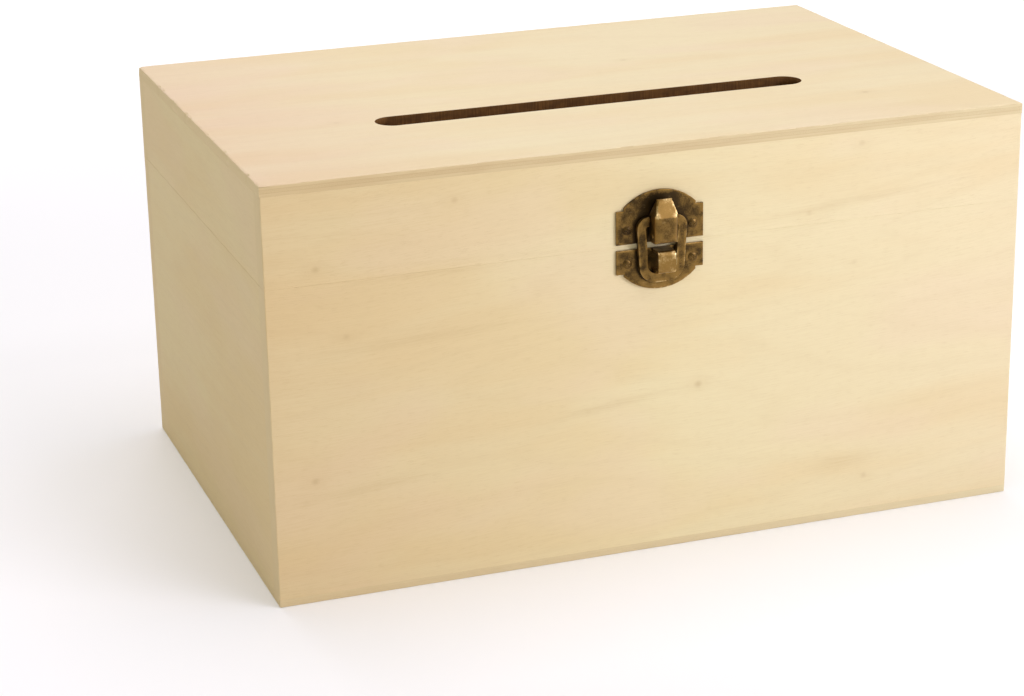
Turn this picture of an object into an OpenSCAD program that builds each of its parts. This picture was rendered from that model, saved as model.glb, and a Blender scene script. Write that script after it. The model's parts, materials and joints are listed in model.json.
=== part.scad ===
// Wooden box with a card slot in its hinged lid, two butt hinges behind and a draw latch in front.
// X runs along the box, Y from front to back and Z up. The origin is the centre of the underside.

/* [Box] */
// Length of the box, left to right
box_l = 300; // [240:5:380]
// Depth of the box, front to back, without the metal
box_d = 200; // [150:5:260]
// Height of the closed box
box_h = 160; // [130:5:220]
// Thickness of the boards round the sides
wall_t = 8; // [6:0.5:12]
// Thickness of the bottom panel
bottom_t = 3; // [2:0.5:6]

/* [Lid] */
// Height of the lid, its top panel included
lid_h = 38; // [32:1:60]
// Thickness of the top panel
top_t = 4; // [3:0.5:8]

/* [Card slot] */
// Length of the slot over its round ends
slot_l = 176; // [120:2:210]
// Width of the slot
slot_w = 14; // [8:1:24]
// From the front of the box to the middle of the slot
slot_inset = 70; // [40:1:110]
// How far the slot sits to the right of the middle
slot_side = 1.5; // [-10:0.5:10]

/* [Hinges] */
// Length of each hinge
hinge_l = 30; // [22:1:50]
// From the end of the box to the middle of a hinge
hinge_inset = 55; // [30:1:80]
// Width of one leaf, from the pin's axis
leaf_w = 11; // [9:0.5:18]
// Thickness of a leaf
leaf_t = 0.9; // [0.6:0.1:1.5]
// Outer radius of the knuckles
knuckle_r = 2.1; // [1.8:0.1:3]
// Radius of the hinge pin
hinge_pin_r = 1; // [0.6:0.05:1.1]
// Knuckles on a hinge, an odd number
knuckles = 5; // [3:2:9]
// From the end of a leaf to its outer screw
leaf_screw_inset = 5; // [4:0.5:7]
// From the pin's axis to the screws
leaf_screw_out = 7; // [5.5:0.25:8]

/* [Latch plates] */
// Width of both plates over their ears
plate_w = 34.5; // [30:0.5:46]
// Thickness of the plates
plate_t = 1; // [0.8:0.1:1.4]
// Gap between the two plates, halved by the seam
plate_gap = 2.2; // [1:0.1:3]
// Width of one ear beside the dome
ear_w = 3; // [2:0.25:5]
// Height of the upper plate's ears
upper_ear_h = 12.8; // [11:0.2:14]
// Height of the lower plate's ears
lower_ear_h = 9.2; // [8:0.2:12]
// Step from an ear up to the foot of the dome
dome_step = 1; // [0.5:0.1:2]
// Rise of the dome's arc
dome_rise = 5.9; // [5:0.1:8]

/* [Latch lever] */
// Width of the lever
lever_w = 9.2; // [8.6:0.1:11]
// Thickness of the lever's sheet
lever_t = 0.9; // [0.7:0.05:1]
// Lever's face above the plate
lever_rise = 7.3; // [7:0.1:8]
// Lever's foot above the upper plate's lower edge
lever_foot = 0.7; // [0.5:0.1:1.5]
// Height of the lever's flat face from its foot
lever_face_h = 9.6; // [9:0.1:12]
// Height of the sloping tip
lever_tip_h = 6.8; // [5:0.1:8]
// How far the tip slopes back
lever_tip_back = 2.7; // [1.5:0.1:3.5]
// Lever's pin above the lever's foot
pivot_up = 2.7; // [2.6:0.05:3]
// Lever's pin above the plate
pivot_rise = 3.8; // [3.7:0.05:4]
// Radius of the lever's pin
latch_pin_r = 0.8; // [0.5:0.05:0.9]

/* [Latch loop and catch] */
// Width of the loop's flat bar
loop_w = 3.5; // [2.6:0.1:4]
// Thickness of the loop's bar
loop_t = 1.8; // [1.4:0.1:2]
// Loop's pivots above the lever's pin
loop_pivot_up = 5; // [4.6:0.1:5.4]
// Room between the loop's limbs and the lever
loop_room = 1.8; // [1.4:0.1:2.6]
// Width of the catch
hook_w = 7; // [5:0.25:8]
// Height of the catch
hook_h = 8.6; // [6:0.1:9.5]
// Front of the catch above the plate
hook_rise = 7.2; // [6:0.1:7.4]

/* [Screws] */
// Radius of a screw's head
head_r = 1.8; // [1.4:0.1:2.2]
// Height of a screw's head
head_h = 0.7; // [0.4:0.05:0.8]
// Radius of a screw's shank
shank_r = 0.9; // [0.6:0.05:1.1]
// Wood left in front of a screw's point
screw_cover = 2; // [1:0.25:3]

/* [Hidden] */
$fn = 64;

wood = [0.93, 0.85, 0.70];
ply = [0.85, 0.74, 0.56];
old_brass = [0.48, 0.36, 0.18];
dark_brass = [0.35, 0.26, 0.14];

// Running fit of the pins, and the room round a screw in wood and in metal
run_fit = 0.05;
screw_fit = 0.05;
hole_fit = 0.15;
// Room between the barrel and the wood, between knuckles, and between the latch's pieces
barrel_gap = 0.2;
knuckle_gap = 0.2;
metal_gap = 0.3;
pin_head_gap = 0.1;
loop_gap = 0.5;
bar_gap = 0.8;
// Overrun of every cut
over = 2;

// Heights and half sizes of the box
seam_z = box_h - lid_h;
half_l = box_l / 2;
half_d = box_d / 2;
inner_d = box_d - 2 * wall_t;
screw_depth = wall_t - screw_cover;
point_h = 2 * shank_r;
recess_w = head_r / 4;
recess_h = head_h / 2;
// Ball that a screw's head is a slice of, so that the head keeps a thin upright rim
rim_share = 0.3;
head_dome_h = (1 - rim_share) * head_h;
head_ball_r = (head_r * head_r + head_dome_h * head_dome_h) / (2 * head_dome_h);

// Hinge: the barrel stands just clear of the wood, with its axis at the seam
hinge_axis_out = knuckle_r + barrel_gap;
hinge_bore_r = hinge_pin_r + run_fit;
knuckle_l = hinge_l / knuckles;
leaf_screw_x = hinge_l / 2 - leaf_screw_inset;
hinge_pin_head_r = (knuckle_r + hinge_pin_r) / 2;
hinge_pin_head_h = hinge_pin_r / 2;
left_hinge_x = hinge_inset - half_l;
right_hinge_x = half_l - hinge_inset;

// Latch heights, measured up from the seam, and depths, measured out from the wood
dome_half = plate_w / 2 - ear_w;
upper_edge = plate_gap / 2;
foot_z = upper_edge + lever_foot;
pivot_z = foot_z + pivot_up;
pivot_d = plate_t + pivot_rise;
face_d = plate_t + lever_rise;
face_top_z = foot_z + lever_face_h;
tip_z = face_top_z + lever_tip_h;
tip_d = face_d - lever_tip_back;
latch_bore_r = latch_pin_r + run_fit;
lug_r = latch_pin_r + 0.7 * lever_t;
lug_in = lever_w / 2 - 2 * lever_t - metal_gap;
latch_screw_x = plate_w / 2 - 1.4 * ear_w;
latch_screw_in = 0.42 * upper_ear_h;
pin_head_r = 1.7 * latch_pin_r;
pin_head_h = latch_pin_r / 2;

// Bends of the lever's sheet, its width at the tip, and the backs of its cheeks
lever_bend = 0.22 * lever_w;
foot_bend = 0.2 * lever_rise;
tip_half_share = 0.64;
cheek_margin = 2.2 * latch_bore_r;
cheek_back = plate_t + metal_gap;

// Catch: a tongue of the lower plate, rolled forward into a square loop
hook_top = -upper_edge;
hook_bottom = hook_top - hook_h;
hook_front = plate_t + hook_rise;
hook_bend_share = 0.25;
hook_bend = hook_bend_share * hook_rise;

// Loop: its pivots stand at the middle of its bar, and its lower bar clears the catch
loop_back = plate_t + loop_gap;
loop_d = loop_back + loop_t / 2;
loop_pivot_z = pivot_z + loop_pivot_up;
loop_in_top = loop_pivot_z - loop_w / 2;
loop_in_bottom = hook_bottom - bar_gap;
loop_in_half = lever_w / 2 + loop_room;
loop_taper = 0.25 * loop_w;
loop_end = lever_w / 2 + metal_gap;
// Each end of the bar is turned in as a round pin, from its root in the bar to its tip inside the cheek
loop_root = loop_end + loop_w / 2;
loop_tip = lever_w / 2 - lever_t;

// Points of an arc, from angle a to angle b in degrees
function arc(cx, cy, r, a, b, n = 12) = [for (i = [0:n]) [cx + r * cos(a + (b - a) * i / n),
                                                        cy + r * sin(a + (b - a) * i / n)]];

// Puts drawings of (across, up) on the front face at the seam, growing out of the wood
module on_front() translate([0, -half_d, seam_z]) rotate([90, 0, 0]) children();

// The same on the back face, at a hinge's middle
module on_back(x) translate([x, half_d, seam_z]) rotate([90, 0, 180]) children();

// Turns a drawing of (out, up) into a slab of width w across the latch
module side_slab(w) rotate([0, -90, 0]) linear_extrude(height = w, center = true) children();

// A round bar centred on the origin, lying across the box
module cross_bar(l, r) rotate([0, 90, 0]) cylinder(h = l, r = r, center = true);

// A board between two corners
module board(low, high) translate(low) cube(high - low);

// A round-headed wood screw standing on the plane z = 0, its point down
module screw(under) {
    difference() {
        rotate_extrude() intersection() {
            square([head_r, head_h]);
            translate([0, head_h - head_ball_r]) circle(r = head_ball_r);
        }
        for (turn = [0, 90]) rotate([0, 0, turn])
            translate([-head_r / 2, -recess_w / 2, head_h - recess_h]) cube([head_r, recess_w, head_h]);
    }
    translate([0, 0, point_h - under]) cylinder(h = under - point_h, r = shank_r);
    translate([0, 0, -under]) cylinder(h = point_h, r1 = shank_r / 4, r2 = shank_r);
}

// The hole that a screw leaves in the wood
module screw_hole(under) {
    translate([0, 0, -under - screw_fit]) cylinder(h = under + screw_fit + over, r = shank_r + screw_fit);
}

// The hole for a screw through sheet of thickness t
module metal_hole(t) translate([0, 0, -over]) cylinder(h = t + 2 * over, r = shank_r + hole_fit);

// The two screw places on each piece of metal
module leaf_screw_places(side) {
    for (x = [-leaf_screw_x, leaf_screw_x]) translate([x, side * leaf_screw_out, 0]) children();
}
module plate_screw_places(side) {
    for (x = [-latch_screw_x, latch_screw_x])
        translate([x, side * (upper_edge + latch_screw_in), 0]) children();
}

// Boards of the base
module bottom_panel() color(ply) board([-half_l, -half_d, 0], [half_l, half_d, bottom_t]);

module front_wall() color(wood) difference() {
    board([-half_l, -half_d, bottom_t], [half_l, wall_t - half_d, seam_z]);
    on_front() plate_screw_places(-1) screw_hole(screw_depth);
}

module back_wall() color(wood) difference() {
    board([-half_l, half_d - wall_t, bottom_t], [half_l, half_d, seam_z]);
    for (x = [left_hinge_x, right_hinge_x]) on_back(x) leaf_screw_places(-1) screw_hole(screw_depth);
}

module left_wall() color(wood)
    board([-half_l, -inner_d / 2, bottom_t], [wall_t - half_l, inner_d / 2, seam_z]);

module right_wall() color(wood)
    board([half_l - wall_t, -inner_d / 2, bottom_t], [half_l, inner_d / 2, seam_z]);

// Boards of the lid
module lid_top_panel() color(wood) difference() {
    board([-half_l, -half_d, box_h - top_t], [half_l, half_d, box_h]);
    translate([slot_side, slot_inset - half_d, box_h - top_t - over])
        linear_extrude(height = top_t + 2 * over) slot_outline();
}

module slot_outline() {
    reach = (slot_l - slot_w) / 2;
    square([2 * reach, slot_w], center = true);
    for (x = [-reach, reach]) translate([x, 0]) circle(d = slot_w);
}

module lid_front_rail() color(wood) difference() {
    board([-half_l, -half_d, seam_z], [half_l, wall_t - half_d, box_h - top_t]);
    on_front() plate_screw_places(1) screw_hole(screw_depth);
}

module lid_back_rail() color(wood) difference() {
    board([-half_l, half_d - wall_t, seam_z], [half_l, half_d, box_h - top_t]);
    for (x = [left_hinge_x, right_hinge_x]) on_back(x) leaf_screw_places(1) screw_hole(screw_depth);
}

module lid_left_rail() color(wood)
    board([-half_l, -inner_d / 2, seam_z], [wall_t - half_l, inner_d / 2, box_h - top_t]);

module lid_right_rail() color(wood)
    board([half_l - wall_t, -inner_d / 2, seam_z], [half_l, inner_d / 2, box_h - top_t]);

// One hinge leaf: side 1 for the lid, -1 for the base; the base leaf has the outer knuckles
module hinge_leaf(side) {
    first = side < 0 ? 0 : 1;
    clear = knuckle_r + knuckle_gap;
    color(old_brass) difference() {
        union() {
            translate([-hinge_l / 2, side < 0 ? -leaf_w : clear, 0])
                cube([hinge_l, leaf_w - clear, leaf_t]);
            for (k = [first:2:knuckles - 1]) knuckle(k, side, clear);
        }
        translate([0, 0, hinge_axis_out]) cross_bar(2 * hinge_l, hinge_bore_r);
        leaf_screw_places(side) metal_hole(leaf_t);
    }
}

// One knuckle and the strip that joins it to its leaf
module knuckle(k, side, clear) {
    start = k * knuckle_l - hinge_l / 2 + (k == 0 ? 0 : knuckle_gap / 2);
    end = (k + 1) * knuckle_l - hinge_l / 2 - (k == knuckles - 1 ? 0 : knuckle_gap / 2);
    translate([start, 0, hinge_axis_out]) rotate([0, 90, 0]) cylinder(h = end - start, r = knuckle_r);
    translate([start, side < 0 ? -clear : 0, 0]) cube([end - start, clear, leaf_t]);
}

module hinge_pin() color(dark_brass) translate([0, 0, hinge_axis_out]) {
    cross_bar(hinge_l, hinge_pin_r);
    for (m = [0, 1]) mirror([m, 0, 0]) translate([hinge_l / 2, 0, 0]) rotate([0, 90, 0])
        cylinder(h = hinge_pin_head_h, r1 = hinge_pin_head_r, r2 = hinge_pin_r);
}

module leaf_screws(side) color(dark_brass) leaf_screw_places(side)
    translate([0, 0, leaf_t]) screw(screw_depth + leaf_t);

// Outline of a latch plate: a strip with ears below a dome
module plate_outline(ear_h) {
    radius = (dome_half * dome_half + dome_rise * dome_rise) / (2 * dome_rise);
    crown = ear_h + dome_step + dome_rise;
    translate([-plate_w / 2, 0]) square([plate_w, ear_h]);
    intersection() {
        translate([-dome_half, 0]) square([2 * dome_half, crown]);
        union() {
            translate([-dome_half, 0]) square([2 * dome_half, ear_h + dome_step]);
            translate([0, crown - radius]) circle(r = radius, $fn = 128);
        }
    }
}

// A plate with its screw holes: side 1 for the lid, -1 for the base
module latch_plate(side, ear_h) difference() {
    linear_extrude(height = plate_t) mirror([0, side < 0 ? 1 : 0]) translate([0, upper_edge])
        plate_outline(ear_h);
    plate_screw_places(side) metal_hole(plate_t);
}

// Two lugs bent out of the upper plate carry the lever's pin
module latch_upper_plate() color(old_brass) on_front() difference() {
    union() {
        latch_plate(1, upper_ear_h);
        for (s = [-1, 1]) translate([s * (lug_in + lever_t / 2), 0, 0]) side_slab(lever_t) {
            translate([pivot_d, pivot_z]) circle(r = lug_r);
            translate([plate_t / 2, pivot_z - lug_r]) square([pivot_d - plate_t / 2, 2 * lug_r]);
        }
    }
    translate([0, pivot_z, pivot_d]) cross_bar(lever_w, latch_bore_r);
}

module latch_lower_plate() color(old_brass) on_front() {
    latch_plate(-1, lower_ear_h);
    side_slab(hook_w) difference() {
        round_front(hook_front, hook_bottom, hook_top, hook_bend);
        round_front(hook_front - plate_t, hook_bottom + plate_t, hook_top - plate_t, hook_bend - plate_t);
        translate([plate_t, hook_bottom - over]) square([metal_gap, 2 * over]);
    }
}

// A rectangle from the wood out to a front with rounded corners
module round_front(front, low, high, r) polygon(concat(
    [[0, high], [0, low]], arc(front - r, low + r, r, -90, 0), arc(front - r, high - r, r, 0, 90)));

// The lever is a channel: its side view, front view and section together, less the same inside
module latch_lever() color(old_brass) on_front() difference() {
    intersection() {
        side_slab(lever_w) lever_side();
        linear_extrude(height = face_d) lever_front(lever_w / 2, tip_z);
        lever_section(lever_w / 2, face_d, lever_bend);
    }
    intersection() {
        side_slab(lever_w) lever_side_inside();
        translate([0, 0, -over]) linear_extrude(height = face_d + over)
            lever_front(lever_w / 2 - lever_t, tip_z - lever_t);
        lever_section(lever_w / 2 - lever_t, face_d - lever_t, lever_bend - lever_t);
    }
    for (p = [[pivot_z, pivot_d], [loop_pivot_z, loop_d]])
        translate([0, p[0], p[1]]) cross_bar(2 * lever_w, latch_bore_r);
}

// Side view: foot and face in front, cheeks at the back that reach round both pins
module lever_side() polygon(concat(
    arc(face_d - foot_bend, foot_z + foot_bend, foot_bend, -90, 0),
    [[face_d, face_top_z], [tip_d, tip_z], [tip_d - lever_t, tip_z],
     [cheek_back, loop_pivot_z + cheek_margin], [cheek_back, loop_pivot_z - cheek_margin],
     [pivot_d - 0.6 * pivot_rise, foot_z + 0.1 * pivot_rise], [pivot_d - 0.5 * pivot_rise, foot_z]]));

// The hollow behind the face and the sloping tip, open at the back and at the foot
module lever_side_inside() polygon([
    [-over, foot_z - over], [face_d - lever_t, foot_z - over], [face_d - lever_t, face_top_z - lever_t / 2],
    [tip_d - lever_t, tip_z], [-over, tip_z]]);

// Front view: straight up to the top of the face, then drawn in to the tip
module lever_front(half, top) {
    tip_half = half - (1 - tip_half_share) * lever_w / 2;
    polygon([[-half, foot_z - over], [half, foot_z - over], [half, face_top_z],
             [tip_half, top], [-tip_half, top], [-half, face_top_z]]);
}

// Section across the lever: square at the back, round at the edges of the face
module lever_section(half, front, r) translate([0, 2 * tip_z, 0]) rotate([90, 0, 0])
    linear_extrude(height = 3 * tip_z) polygon(concat(
        [[-half, -over], [half, -over]],
        arc(half - r, front - r, r, 0, 90), arc(r - half, front - r, r, 90, 180)));

module latch_lever_pin() color(dark_brass) on_front() translate([0, pivot_z, pivot_d]) {
    cross_bar(lever_w + 2 * pin_head_gap, latch_pin_r);
    for (m = [0, 1]) mirror([m, 0, 0]) translate([lever_w / 2 + pin_head_gap, 0, 0]) rotate([0, 90, 0])
        cylinder(h = pin_head_h, r1 = pin_head_r, r2 = latch_pin_r);
}

// The loop is open at the top, where its two ends turn in and pivot in the lever's cheeks
module latch_loop() color(old_brass) on_front() {
    translate([0, 0, loop_back]) linear_extrude(height = loop_t) difference() {
        loop_outline(loop_w, 1.3 * loop_w, 1.9 * loop_w);
        loop_outline(0, 0.3 * loop_w, 0.9 * loop_w);
        translate([-loop_end, loop_in_top - over]) square([2 * loop_end, loop_w + 2 * over]);
    }
    for (s = [-1, 1]) translate([s * (loop_root + loop_tip) / 2, loop_pivot_z, loop_d])
        cross_bar(loop_root - loop_tip, latch_pin_r);
}

// The loop's inner outline grown by g, with its top and bottom corner radii
module loop_outline(g, top_r, bottom_r) {
    wide = loop_in_half + g;
    narrow = wide - loop_taper;
    high = loop_in_top + g;
    low = loop_in_bottom - g;
    polygon(concat(
        arc(wide - top_r, high - top_r, top_r, 0, 90), arc(top_r - wide, high - top_r, top_r, 90, 180),
        arc(bottom_r - narrow, low + bottom_r, bottom_r, 180, 270),
        arc(narrow - bottom_r, low + bottom_r, bottom_r, 270, 360)));
}

module plate_screws(side) color(dark_brass) on_front() plate_screw_places(side)
    translate([0, 0, plate_t]) screw(screw_depth + plate_t);

bottom_panel();
front_wall();
back_wall();
left_wall();
right_wall();
lid_top_panel();
lid_front_rail();
lid_back_rail();
lid_left_rail();
lid_right_rail();
on_back(left_hinge_x) hinge_leaf(-1);  // hinge_left_base_leaf
on_back(left_hinge_x) hinge_leaf(1);  // hinge_left_lid_leaf
on_back(left_hinge_x) hinge_pin();  // hinge_left_pin
on_back(left_hinge_x) leaf_screws(-1);  // hinge_left_base_screws
on_back(left_hinge_x) leaf_screws(1);  // hinge_left_lid_screws
on_back(right_hinge_x) hinge_leaf(-1);  // hinge_right_base_leaf
on_back(right_hinge_x) hinge_leaf(1);  // hinge_right_lid_leaf
on_back(right_hinge_x) hinge_pin();  // hinge_right_pin
on_back(right_hinge_x) leaf_screws(-1);  // hinge_right_base_screws
on_back(right_hinge_x) leaf_screws(1);  // hinge_right_lid_screws
latch_upper_plate();
latch_lower_plate();
latch_lever();
latch_lever_pin();
latch_loop();
plate_screws(1);  // latch_upper_screws
plate_screws(-1);  // latch_lower_screws
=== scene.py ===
# %% [markdown]
# # A wooden slot box
# The object is a plain plywood box with a card slot in its lid and an antiqued draw latch in
# front. Its solids come packed from the workshop drawing, at real size and in metres. This lesson
# dresses them: boards with eased edges and grain, ply edges, a burnt slot, worn brass, and a soft
# white studio round them. The solids could be shown as they are, but real boards have broken edges
# and real stamped sheet has worn ones, and light shows both.

# %% Load the solids
import json
import math

import bmesh
import bpy
from mathutils import Matrix, Vector, noise
from mathutils.kdtree import KDTree


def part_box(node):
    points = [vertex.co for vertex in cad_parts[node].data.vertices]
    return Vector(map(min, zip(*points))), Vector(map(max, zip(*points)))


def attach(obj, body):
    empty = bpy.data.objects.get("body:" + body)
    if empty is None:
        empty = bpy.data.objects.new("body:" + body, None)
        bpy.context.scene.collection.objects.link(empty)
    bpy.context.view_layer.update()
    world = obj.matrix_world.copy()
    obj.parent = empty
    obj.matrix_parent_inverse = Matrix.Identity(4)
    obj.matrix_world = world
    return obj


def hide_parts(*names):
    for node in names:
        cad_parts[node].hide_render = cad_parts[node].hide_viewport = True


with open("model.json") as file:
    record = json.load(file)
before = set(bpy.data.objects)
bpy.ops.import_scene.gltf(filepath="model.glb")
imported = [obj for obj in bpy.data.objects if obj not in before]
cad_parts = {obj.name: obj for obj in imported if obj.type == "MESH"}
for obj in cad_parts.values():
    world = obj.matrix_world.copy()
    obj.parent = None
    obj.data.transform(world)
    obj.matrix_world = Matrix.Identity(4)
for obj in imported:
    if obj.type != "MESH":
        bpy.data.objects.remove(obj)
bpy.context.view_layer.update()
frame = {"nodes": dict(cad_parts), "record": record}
nodes = frame["nodes"]

# %% [markdown]
# ## Measures
# The boards' solids tell where the faces, the seam and the slot are, so nothing is typed twice.
# Patterns and mesh details are easier to think of in millimetres, so one name turns them into
# metres. The record that came with the solids says which body each piece rides on and which kind
# of finish it takes.

# %% Take measures from the boards
mm = 0.001
box_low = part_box("bottom_panel")[0]
box_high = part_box("lid_top_panel")[1]
seam_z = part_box("lid_front_rail")[0].z
length, depth, height = [side / mm for side in box_high - box_low]
print("box", round(length), "x", round(depth), "x", round(height), "mm")
print("seam at", round(seam_z / mm), "mm")

# %% Which body and which finish each piece has
body_of = {node: body for body, names in frame["record"]["behaviour"]["bodies"].items()
           for node in names}
slot_of = {part["node"]: part["material_slot"] for part in frame["record"]["subparts"]}
print(len(body_of), "pieces on", sorted(set(body_of.values())))

# %% [markdown]
# ## Camera
# The corners of the box in the photograph give the camera: a long lens, turned to the left of the
# box and raised, and rolled a little. A camera could be placed by eye, but solving it makes every
# edge fall in place.

# %% Set up the camera
camera_turn, camera_rise, camera_roll = math.radians(-19.18), math.radians(19.17), math.radians(-1.10)
camera_place = Vector((-358, -962, 406)) * mm
picture_width_px, focal_px = 1024, 2640
film_width, nearest = 36, 0.05

back = Vector((math.sin(camera_turn) * math.cos(camera_rise),
               -math.cos(camera_turn) * math.cos(camera_rise),
               math.sin(camera_rise)))
level = Vector((math.cos(camera_turn), math.sin(camera_turn), 0))
upright = back.cross(level)
right = level * math.cos(camera_roll) + upright * math.sin(camera_roll)
up = upright * math.cos(camera_roll) - level * math.sin(camera_roll)

camera = bpy.data.objects.new("camera", bpy.data.cameras.new("camera"))
bpy.context.scene.collection.objects.link(camera)
turned = Matrix((right, up, back)).transposed().to_4x4()
camera.matrix_world = Matrix.Translation(camera_place) @ turned
camera.data.sensor_width = film_width
camera.data.lens = film_width * focal_px / picture_width_px
camera.data.clip_start = nearest
bpy.context.scene.camera = camera
print("lens", round(camera.data.lens, 1), "mm")

# %% [markdown]
# ## A small language for finishes
# A finish is a web of nodes. Wiring them one by one hides the thought behind them, so a value is
# wrapped in a small class, and sums on it write the Math nodes. Every other node comes from one
# method of the finish, which sets the node's own settings first and then its sockets.


# %% A value that varies over a surface
class Value:
    """A socket in a finish. Sums, products and powers of it add Math nodes."""

    def __init__(self, finish, socket):
        self.finish, self.socket = finish, socket

    def sum_of(self, operation, *terms, clamp=False):
        settings = {"operation": operation, "use_clamp": clamp}
        return self.finish.add("ShaderNodeMath", settings, dict(enumerate(terms)))

    def __add__(self, other):
        return self.sum_of("ADD", self, other)

    def __radd__(self, other):
        return self.sum_of("ADD", other, self)

    def __sub__(self, other):
        return self.sum_of("SUBTRACT", self, other)

    def __rsub__(self, other):
        return self.sum_of("SUBTRACT", other, self)

    def __mul__(self, other):
        return self.sum_of("MULTIPLY", self, other)

    def __rmul__(self, other):
        return self.sum_of("MULTIPLY", other, self)

    def __truediv__(self, other):
        return self.sum_of("DIVIDE", self, other)

    def __rtruediv__(self, other):
        return self.sum_of("DIVIDE", other, self)

    def __pow__(self, other):
        return self.sum_of("POWER", self, other)

    def __neg__(self):
        return self.sum_of("MULTIPLY", self, -1)

    def clear(self):
        """The value kept between 0 and 1."""
        return self.sum_of("ADD", self, 0, clamp=True)

    def waves(self):
        """The value folded to and fro between 0 and 1."""
        return self.sum_of("PINGPONG", self, 1)


# %% A colour
def colour(red, green, blue):
    """A colour as a picture shows it, 0 to 255, turned into the light that it stands for."""
    shares = [level / 255 for level in (red, green, blue)]
    light = [s / 12.92 if s <= 0.04045 else ((s + 0.055) / 1.055) ** 2.4 for s in shares]
    return (*light, 1.0)


print("middle grey is", round(colour(119, 119, 119)[0], 2), "of white in light")


# %% A finish
class Finish:
    """A material under construction, with one method that adds any node."""

    # A Mix node of colours has sockets of the same name, so these go by number.
    share_in, first_in, second_in, colour_out = 0, 6, 7, 2

    def __init__(self, name):
        self.material = bpy.data.materials.new(name)
        self.material.use_nodes = True
        self.tree = self.material.node_tree
        self.tree.nodes.clear()

    def add(self, kind, settings=None, inputs=None, output=0):
        """Adds a node of a type with its settings, and then the values or links of its sockets."""
        node = self.tree.nodes.new(kind)
        for key, value in (settings or {}).items():
            if key == "stops":
                self.set_stops(node.color_ramp, value)
            else:
                setattr(node, key, value)
        for key, value in (inputs or {}).items():
            if isinstance(value, Value):
                self.tree.links.new(value.socket, node.inputs[key])
            else:
                node.inputs[key].default_value = value
        return Value(self, node.outputs[output]) if node.outputs else None

    def set_stops(self, ramp, stops):
        while len(ramp.elements) < len(stops):
            ramp.elements.new(0.5)
        for element, (place, shade) in zip(ramp.elements, stops):
            element.position, element.color = place, shade

    def places(self):
        """Where a point lies on its piece, in millimetres, whatever the piece's pose."""
        here = self.add("ShaderNodeTexCoord", output="Object")
        return self.stretch(here, (1 / mm, 1 / mm, 1 / mm))

    def grain(self):
        """Millimetres along the grain and across it, from the map that is laid on every board."""
        return self.add("ShaderNodeUVMap", {"uv_map": "grain"})

    def stored(self, name):
        """A value that was stored on the points of the mesh."""
        return self.add("ShaderNodeAttribute", {"attribute_name": name}, output="Fac")

    def part(self, vector, axis):
        return self.add("ShaderNodeSeparateXYZ", inputs={0: vector}, output=axis)

    def stretch(self, vector, factors):
        settings = {"operation": "MULTIPLY"}
        return self.add("ShaderNodeVectorMath", settings, {0: vector, 1: factors})

    def shift(self, vector, other):
        return self.add("ShaderNodeVectorMath", {"operation": "ADD"}, {0: vector, 1: other})

    def length_of(self, vector):
        """How long a vector is."""
        return self.add("ShaderNodeVectorMath", {"operation": "LENGTH"}, {0: vector}, "Value")

    def clouds(self, grain, rate, detail=2.0, rough=0.5):
        """Noise on the map, by its rate in patches per millimetre along the grain and across."""
        inputs = {"Vector": self.stretch(grain, (*rate, 1)), "Scale": 1.0,
                  "Detail": detail, "Roughness": rough}
        return self.add("ShaderNodeTexNoise", {"noise_dimensions": "2D"}, inputs)

    def solid_clouds(self, here, rate, rough):
        """Noise in space, by its rate in patches per millimetre."""
        inputs = {"Vector": here, "Scale": rate, "Detail": 3.0, "Roughness": rough}
        return self.add("ShaderNodeTexNoise", {"noise_dimensions": "3D"}, inputs)

    def between(self, value, low, high, to_low=0.0, to_high=1.0):
        """A smooth step from one level to another as the value goes from low to high."""
        inputs = {"Value": value, "From Min": low, "From Max": high,
                  "To Min": to_low, "To Max": to_high}
        return self.add("ShaderNodeMapRange", {"interpolation_type": "SMOOTHSTEP"}, inputs)

    def mix(self, share, first, second, way="MIX"):
        settings = {"data_type": "RGBA", "blend_type": way, "clamp_factor": True}
        inputs = {self.share_in: share, self.first_in: first, self.second_in: second}
        return self.add("ShaderNodeMix", settings, inputs, output=self.colour_out)

    def mark(self, grain, place, reach, tilt=0.0):
        """A soft oval spot: 1 at its middle, 0 at its reach."""
        inputs = {"Vector": grain, "Location": (*place, 0), "Rotation": (0, 0, tilt),
                  "Scale": (*reach, 1)}
        near = self.add("ShaderNodeMapping", {"vector_type": "TEXTURE"}, inputs)
        return self.between(self.length_of(near), 1.0, 0.0)

    def skin(self, base, rough, metal=0.0, relief=None, relief_depth=0.0, **fixed):
        """The surface itself. Relief is a height in shares of its depth in millimetres."""
        inputs = {"Base Color": base, "Roughness": rough, "Metallic": metal, **fixed}
        if relief is not None:
            bump = {"Strength": 1.0, "Distance": relief_depth * mm, "Height": relief}
            inputs["Normal"] = self.add("ShaderNodeBump", inputs=bump)
        surface = self.add("ShaderNodeBsdfPrincipled", inputs=inputs)
        self.add("ShaderNodeOutputMaterial", inputs={"Surface": surface})
        print("finish", self.material.name, "with", len(self.tree.nodes), "nodes")
        return self.material


# %% [markdown]
# ## Wood
# The box is made of pale poplar plywood, sanded and left bare. Its face is nearly plain: slow
# drifts of tone, faint growth lines along the board, short pores, and a few pin knots the size of
# a match head. A picture of wood would repeat and blur, so all of it is drawn by noise that is
# stretched along the grain. The map named grain gives millimetres along and across the grain on
# every face, and so a line runs on over the seam between base and lid, which were sawn from one
# box.

# %% Tones of the wood
pale_wood = colour(228, 208, 167)
warm_wood = colour(226, 202, 158)
rose_wood = colour(228, 204, 168)
plain_wood = colour(226, 204, 160)
knot_wood = colour(166, 126, 74)
line_wood = colour(206, 178, 132)
edge_wood = colour(216, 191, 145)
dark_edge_wood = colour(198, 170, 122)
dry = {"Specular IOR Level": 0.35}
very_dry = {"Specular IOR Level": 0.25}
print("growth lines take", round(100 * (1 - line_wood[1] / pale_wood[1])), "% of the green light")

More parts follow.
